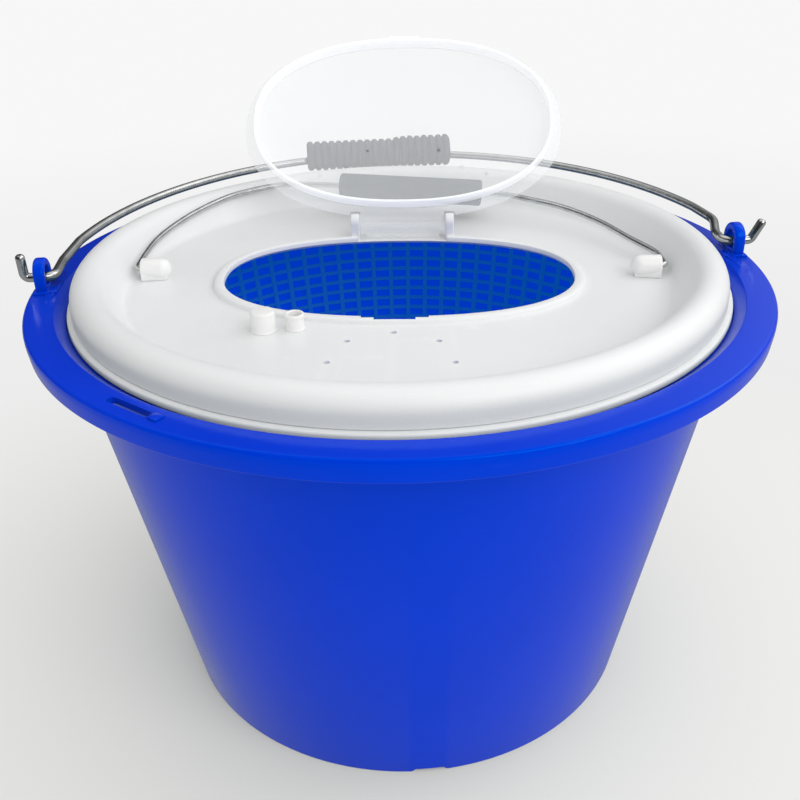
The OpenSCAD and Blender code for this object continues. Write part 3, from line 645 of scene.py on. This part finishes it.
def port_shape():
    bm = spun(rounded([
        (PORT_BORE, -7.2, 0.3), (4.0, -7.2, 0.3), (4.0, 0.01, 0), (4.75, 0.01, 0.6), (4.2, 0.9, 1.2),
        (4.2, 5.6, 0.6), (4.5, 6.2, 0.3), (4.5, 7.5, 0.6), (PORT_BORE, 7.5, 0.5)], 3), steps=48)
    bmesh.ops.translate(bm, vec=PORT_AT, verts=bm.verts)
    return bm


def plug_shape():
    low, high = -4.2, 9.5
    outline = rounded([(0, low, 0), (5.1, low, 0.5), (5.1, 0.01, 0), (6.2, 0.01, 0.2), (5.6, 0.8, 1.2),
                       (5.6, high, 1.1), (0, high, 0)], 4)
    bm = spun(outline, steps=56, closed=False)
    bmesh.ops.translate(bm, vec=PLUG_AT, verts=bm.verts)
    return bm


def socket_knob(side):
    """A domed socket that lies on the panel; its wire goes in at the flat outer end."""
    r = SOCKET_D / 2
    outline = [Vector((0, -r))] + arc(0, 0, r, -90, 0, 10)[1:]
    outline += rounded([(r, 0, 0), (r, SOCKET_L, 0.9), (1.7, SOCKET_L, 0.3), (1.7, 6, 0), (0, 6, 0)], 3)[1:]
    bm = spun(outline, steps=48, closed=False)
    bmesh.ops.transform(bm, matrix=Matrix.Rotation(math.pi / 2, 4, "Y"), verts=bm.verts)
    base = bmesh.new()
    for v in block(base, (-3.2, -r, -r), (SOCKET_L - 0.15, r, -0.5)):
        if v.co.x < 0:
            v.co.y *= 0.6
    add(bm, soften(base, 0.6, 2))
    place = Matrix.Scale(side, 4, (1, 0, 0)) @ Matrix.Translation((SOCKET_X, 0, SOCKET_Z))
    bmesh.ops.transform(bm, matrix=place, verts=bm.verts)
    return bm


# Bails and grips

def outer_place():
    return (Matrix.Translation((0, 0, BAIL_Z)) @ Matrix.Rotation(EAR_TURN, 4, "Z")
            @ Matrix.Rotation(BAIL_TILT, 4, "X"))


def outer_wire_shape():
    bow = [p.to_3d() for p in arc(BOW_AT, BOW_AT, BOW_R, 166, 16, 72)]
    left_in, left_out, left_tip = Vector((-LEG_R, 0, 0)), Vector((-HOOK_R, 0, 0)), Vector((-HOOK_R, 0, 12))
    right_in, right_out = Vector((LEG_R, 0, 0)), Vector((HOOK_R, 0, 0))
    right_tip = Vector((HOOK_R + 5, 0, 10.5))
    left_knee, straight, knee = Vector((-LEG_R, 20, 0)), Vector((LEG_R, 11, 0)), Vector((LEG_R + 7, 31, 0))
    path = ([left_tip] + bend(left_tip, left_out, left_in, 2.7) + bend(left_out, left_in, left_knee, 5)
            + bend(left_in, left_knee, bow[0], 30, 4) + bow + bend(bow[-1], knee, straight, 20, 4)
            + bend(knee, straight, right_in, 16, 4) + bend(straight, right_in, right_out, 5)
            + bend(right_in, right_out, right_tip, 2.7) + [right_tip])
    bm = swept(path, BAIL_D, 20)
    bmesh.ops.transform(bm, matrix=outer_place(), verts=bm.verts)
    return bm


def outer_grip_shape():
    """A ribbed sleeve; its right part is a little fuller, where the split sleeve has spread."""
    r, half, pitch = OUTER_GRIP_R, OUTER_GRIP_L / 2, OUTER_GRIP_L / GRIP_RIBS
    rib = ((0.08, 1.3), (0.17, 0.55), (0.28, 0.1), (0.5, 0), (0.72, 0.1), (0.83, 0.55), (0.92, 1.3))
    line = [Vector((OUTER_BORE, -half)), Vector((r - 1.4, -half))]
    line += [Vector((r - deep, (i + at) * pitch - half)) for i in range(GRIP_RIBS) for at, deep in rib]
    line += [Vector((r - 1.4, half)), Vector((OUTER_BORE, half))]
    bm = spun(line, steps=48)
    for v in bm.verts:
        spread = min(max((v.co.z - 9) / 5, 0), 1)
        eased = spread * spread * (3 - 2 * spread)
        v.co.x -= 1.3 * eased * max(-v.co.x / r, 0) * (1 - 0.14 * math.sin(v.co.z * 0.55))
    place = (outer_place() @ Matrix.Translation((BOW_AT, BOW_R + 0.75, 2))
             @ Matrix.Rotation(math.pi / 2, 4, "Y"))
    bmesh.ops.transform(bm, matrix=place, verts=bm.verts)
    return bm


def inner_place():
    """The inner bail's place: tipped back until its left shoulder rests on the lid's roll."""
    x, y = BOW_LEFT[3][0] * HALF, BOW_LEFT[3][1] * REACH
    gap = ROLL_R + WIRE_D / 2 + 0.3
    high = ROLL_Z + math.sqrt(gap ** 2 - max(0, ROLL_C - math.hypot(x, y)) ** 2)
    return Matrix.Translation((0, 0, SOCKET_Z)) @ Matrix.Rotation(math.asin((high - SOCKET_Z) / y), 4, "X")


def grip_at(x):
    return Vector((GRIP_MIDDLE + x, REACH * (GRIP_BACK - GRIP_FALL * x / INNER_GRIP_L), 0))


def inner_wire_shape():
    left, right = ([Vector((x * HALF, y * REACH, 0)) for x, y in side] for side in (BOW_LEFT, BOW_RIGHT))
    middle = [grip_at(INNER_GRIP_L * k) for k in (-0.5, -0.44, -0.15, 0.15, 0.44, 0.5)]
    ends = [Vector((side * HALF, 0, 0)) for side in (-1, 1)]
    tips = [Vector((side * (HALF - 7), 0, 0)) for side in (-1, 1)]
    path = ([tips[0]] + bend(tips[0], ends[0], left[0], 2.6)
            + smooth_line([ends[0]] + left + middle + right + [ends[1]]) + [right[-1]]
            + bend(right[-1], ends[1], tips[1], 2.6) + [tips[1]])
    bm = swept(path, WIRE_D, 16)
    bmesh.ops.transform(bm, matrix=inner_place(), verts=bm.verts)
    return bm


def inner_grip_shape():
    half, r = INNER_GRIP_L / 2, INNER_GRIP_R
    bm = spun(rounded([(INNER_BORE, -half, 0.3), (r, -half, 1.0), (r, half, 1.0), (INNER_BORE, half, 0.3)],
                      4), steps=48)
    turn = math.atan2(-GRIP_FALL * REACH, INNER_GRIP_L)
    place = (inner_place() @ Matrix.Translation(grip_at(0)) @ Matrix.Rotation(turn, 4, "Z")
             @ Matrix.Rotation(math.pi / 2, 4, "Y"))
    bmesh.ops.transform(bm, matrix=place, verts=bm.verts)
    return bm


# Hatch cover, drawn shut about its hinge and then tipped back

def cover_shape():
    under, top, grow = PLATE_LOW, PLATE_TOP, COVER_GROW
    low = under - LIP_H

    def about_hinge(wider, z):
        at = oval(wider, z)
        return lambda turn: at(turn) - Vector((0, HINGE_Y, 0))

    # The plate's edge, its underside, down the lip's outside, round its foot and up its inside
    line = [(2.2, top), (2.65, top - 0.25), (grow, top - 0.7), (grow, under + 0.6), (2.6, under + 0.15),
            (2.1, under), (-2.4, under), (-2.85, under - 0.2), (-3.0, under - 0.7), (-3.0, low + 0.5),
            (-3.2, low + 0.1), (-3.5, low), (-4.1, low), (-4.45, low + 0.15), (-4.6, low + 0.5),
            (-4.6, under - 0.9), (-4.8, under - 0.3), (-5.4, under)]
    bm = loft([about_hinge(*p) for p in line], 160, capped=True)
    side_on = Matrix.Rotation(math.pi / 2, 4, "Y")
    cuts = bmesh.new()
    for side in (-1, 1):
        rod(cuts, 8.4, LUG_W + 0.8, Matrix.Translation((side * (LUG_X + LUG_W / 2), 0, 0)) @ side_on, 48)
        for x, y in COVER_HOLES:
            rod(cuts, 1.0, 8, Matrix.Translation((side * x, y - HINGE_Y, (under + top) / 2)), 20)
    bm = carve(bm, cuts)
    knuckle, front = LUG_X - 0.4, -OPEN_B - HINGE_Y
    heel = alone(block, (3 - knuckle, 0, -6.1), (knuckle - 3, 4.5, 0))
    bmesh.ops.rotate(heel, cent=(0, 0, 0), matrix=Matrix.Rotation(OPEN_ANGLE, 3, "X"), verts=heel.verts)
    for solid in (
            alone(block, (-knuckle, OPEN_B + grow - HINGE_Y - 8, under + 0.02), (knuckle, 0, top - 0.02)),
            alone(rod, 3.5, 2 * knuckle, side_on, 40),
            alone(rod, 1.5, 2 * LUG_X + 2 * LUG_W, side_on, 24),
            alone(block, (-8.5, front - 2.6, under - 1.5), (8.5, front - 1.0, under + 0.3)),
            heel):
        bm = carve(bm, solid, "UNION")
    place = Matrix.Translation((0, HINGE_Y, HINGE_Z)) @ Matrix.Rotation(-OPEN_ANGLE, 4, "X")
    bmesh.ops.transform(bm, matrix=place, verts=bm.verts)
    return bm


for name, shape, slot, body, node in (
        ("tub_shell", tub_shape(), "tub_blue", "tub", "bucket_tub"),
        ("ring_band", ring_shape(), "lid_white", "insert", "insert_ring"),
        ("basket_lattice", lattice_shape(), "lattice_blue", "insert", "basket_wall"),
        ("lid_shell", lid_shape(), "lid_white", "insert", "insert_lid"),
        ("port_tube", port_shape(), "fitting_white", "insert", "air_line_port"),
        ("plug_cap", plug_shape(), "fitting_white", "insert", "blanking_plug"),
        ("socket_left", socket_knob(-1), "fitting_white", "insert", "left_bail_socket"),
        ("socket_right", socket_knob(1), "fitting_white", "insert", "right_bail_socket"),
        ("outer_bail_bow", outer_wire_shape(), "bail_steel", "outer_bail", "outer_bail_wire"),
        ("outer_grip_ribbed", outer_grip_shape(), "grip_slate", "outer_bail_grip", "outer_grip"),
        ("inner_bail_bow", inner_wire_shape(), "bail_steel", "inner_bail", "inner_bail_wire"),
        ("inner_grip_sleeve", inner_grip_shape(), "grip_slate", "inner_bail_grip", "inner_grip"),
        ("cover_frosted", cover_shape(), "cover_frost", "hatch", "hatch_cover")):
    settle(name, shape, slot, body, node)
floor_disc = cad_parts["basket_floor"]
floor_disc.data.materials.clear()
floor_disc.data.materials.append(FINISHES["lattice_blue"])


# Studio: a pale floor that runs out into a white ground, soft light from above, behind and the right

def studio_floor():
    bm = bmesh.new()
    bmesh.ops.create_grid(bm, x_segments=24, y_segments=24, size=6)
    mesh = bpy.data.meshes.new("floor")
    bm.to_mesh(mesh)
    bm.free()
    floor = bpy.data.objects.new("floor", mesh)
    bpy.context.scene.collection.objects.link(floor)
    material = bpy.data.materials.new("floor_paper")
    material.use_nodes = True
    tree = material.node_tree
    tree.nodes.clear()
    paper = make(tree, "ShaderNodeBsdfPrincipled", {"Base Color": (0.93, 0.92, 0.88, 1), "Roughness": 0.6})
    reach = vector_calc(tree, "LENGTH", object_place(tree), result="Value")
    light = make(tree, "ShaderNodeLightPath").outputs
    # The camera sees paper near the object, where the shadow falls, and an even glow further out
    glow = make(tree, "ShaderNodeEmission", {
        "Color": (1, 1, 1, 1), "Strength": span(tree, reach, 0.25, 1.4, 0.82, 0.935)})
    far = calc(tree, "MULTIPLY", span(tree, reach, 0.08, 0.45, 0.0, 1.0), light["Is Camera Ray"])
    mix = make(tree, "ShaderNodeMixShader", {0: far, 1: paper.outputs[0], 2: glow.outputs[0]})
    # Reflections meet a dimmer floor
    dim = make(tree, "ShaderNodeEmission", {"Color": (0.36, 0.37, 0.38, 1), "Strength": 1.0})
    mix = make(tree, "ShaderNodeMixShader", {0: light["Is Glossy Ray"], 1: mix.outputs[0], 2: dim.outputs[0]})
    make(tree, "ShaderNodeOutputMaterial", {"Surface": mix.outputs[0]})
    mesh.materials.append(material)


def studio_world():
    world = bpy.data.worlds.new("studio")
    bpy.context.scene.world = world
    world.use_nodes = True
    tree = world.node_tree
    tree.nodes.clear()
    way = make(tree, "ShaderNodeTexCoord").outputs["Generated"]
    way = make(tree, "ShaderNodeSeparateXYZ", {0: way}).outputs
    light = make(tree, "ShaderNodeLightPath").outputs
    # Reflections find white above, behind and on the right, and dark in front
    above = span(tree, way["Z"], 0.6, 0.9, 0.0, 1.0)
    beside = calc(tree, "MULTIPLY", span(tree, way["X"], 0.0, 0.5, 0.08, 0.95),
                  span(tree, way["Z"], 0.15, 0.5, 0.25, 1.0))
    shine = calc(tree, "MAXIMUM", above, beside)
    shine = calc(tree, "MULTIPLY", shine, span(tree, way["Y"], -0.8, 0.1, 0.06, 1.0))
    ambient = span(tree, way["X"], -1.0, 1.0, 0.69, 0.90)
    direct = calc(tree, "MAXIMUM", light["Is Camera Ray"], light["Is Transmission Ray"])
    level = make(tree, "ShaderNodeMix", {0: light["Is Glossy Ray"], 2: ambient, 3: shine}, data_type="FLOAT")
    level = make(tree, "ShaderNodeMix", {0: direct, 2: level.outputs[0], 3: 0.92}, data_type="FLOAT")
    back = make(tree, "ShaderNodeBackground", {"Color": (1, 1, 1, 1), "Strength": level.outputs[0]})
    make(tree, "ShaderNodeOutputWorld", {"Surface": back.outputs[0]})


def studio_lamp(name, place, aim, size, watts):
    lamp = bpy.data.lights.new(name, "AREA")
    lamp.shape, (lamp.size, lamp.size_y), lamp.energy = "RECTANGLE", size, watts
    obj = bpy.data.objects.new(name, lamp)
    bpy.context.scene.collection.objects.link(obj)
    obj.location = place
    obj.rotation_mode = "QUATERNION"
    obj.rotation_quaternion = (Vector(aim) - Vector(place)).to_track_quat("-Z", "Y")


def studio_camera(place, heading, pitch, roll, lens):
    """A camera at a place; the turns are in degrees: left of +Y, down, and about its own line of sight."""
    h, p, a = (math.radians(v) for v in (heading, pitch, roll))
    forward = Vector((-math.sin(h) * math.cos(p), math.cos(h) * math.cos(p), -math.sin(p)))
    level_right = Vector((math.cos(h), math.sin(h), 0))
    level_up = level_right.cross(forward)
    right = math.cos(a) * level_right + math.sin(a) * level_up
    up = math.cos(a) * level_up - math.sin(a) * level_right
    camera = bpy.data.objects.new("camera", bpy.data.cameras.new("camera"))
    camera.data.sensor_width, camera.data.lens = 36, lens
    rows = [(right[i], up[i], -forward[i], place[i]) for i in range(3)]
    camera.matrix_world = Matrix(rows + [(0, 0, 0, 1)])
    bpy.context.scene.collection.objects.link(camera)
    bpy.context.scene.camera = camera


bpy.context.scene.view_settings.view_transform = "Standard"
studio_floor()
studio_world()
studio_lamp("key_box", (1.1, 0.3, 1.3), (0, 0, 0.2), (1.0, 1.0), 4)
studio_lamp("front_box", (0.9, -1.1, 1.2), (0, 0, 0.15), (1.3, 0.8), 9)
studio_camera((0.01852, -0.44368, 0.38596), heading=2.5, pitch=28.6795, roll=-1.26269, lens=41.817)
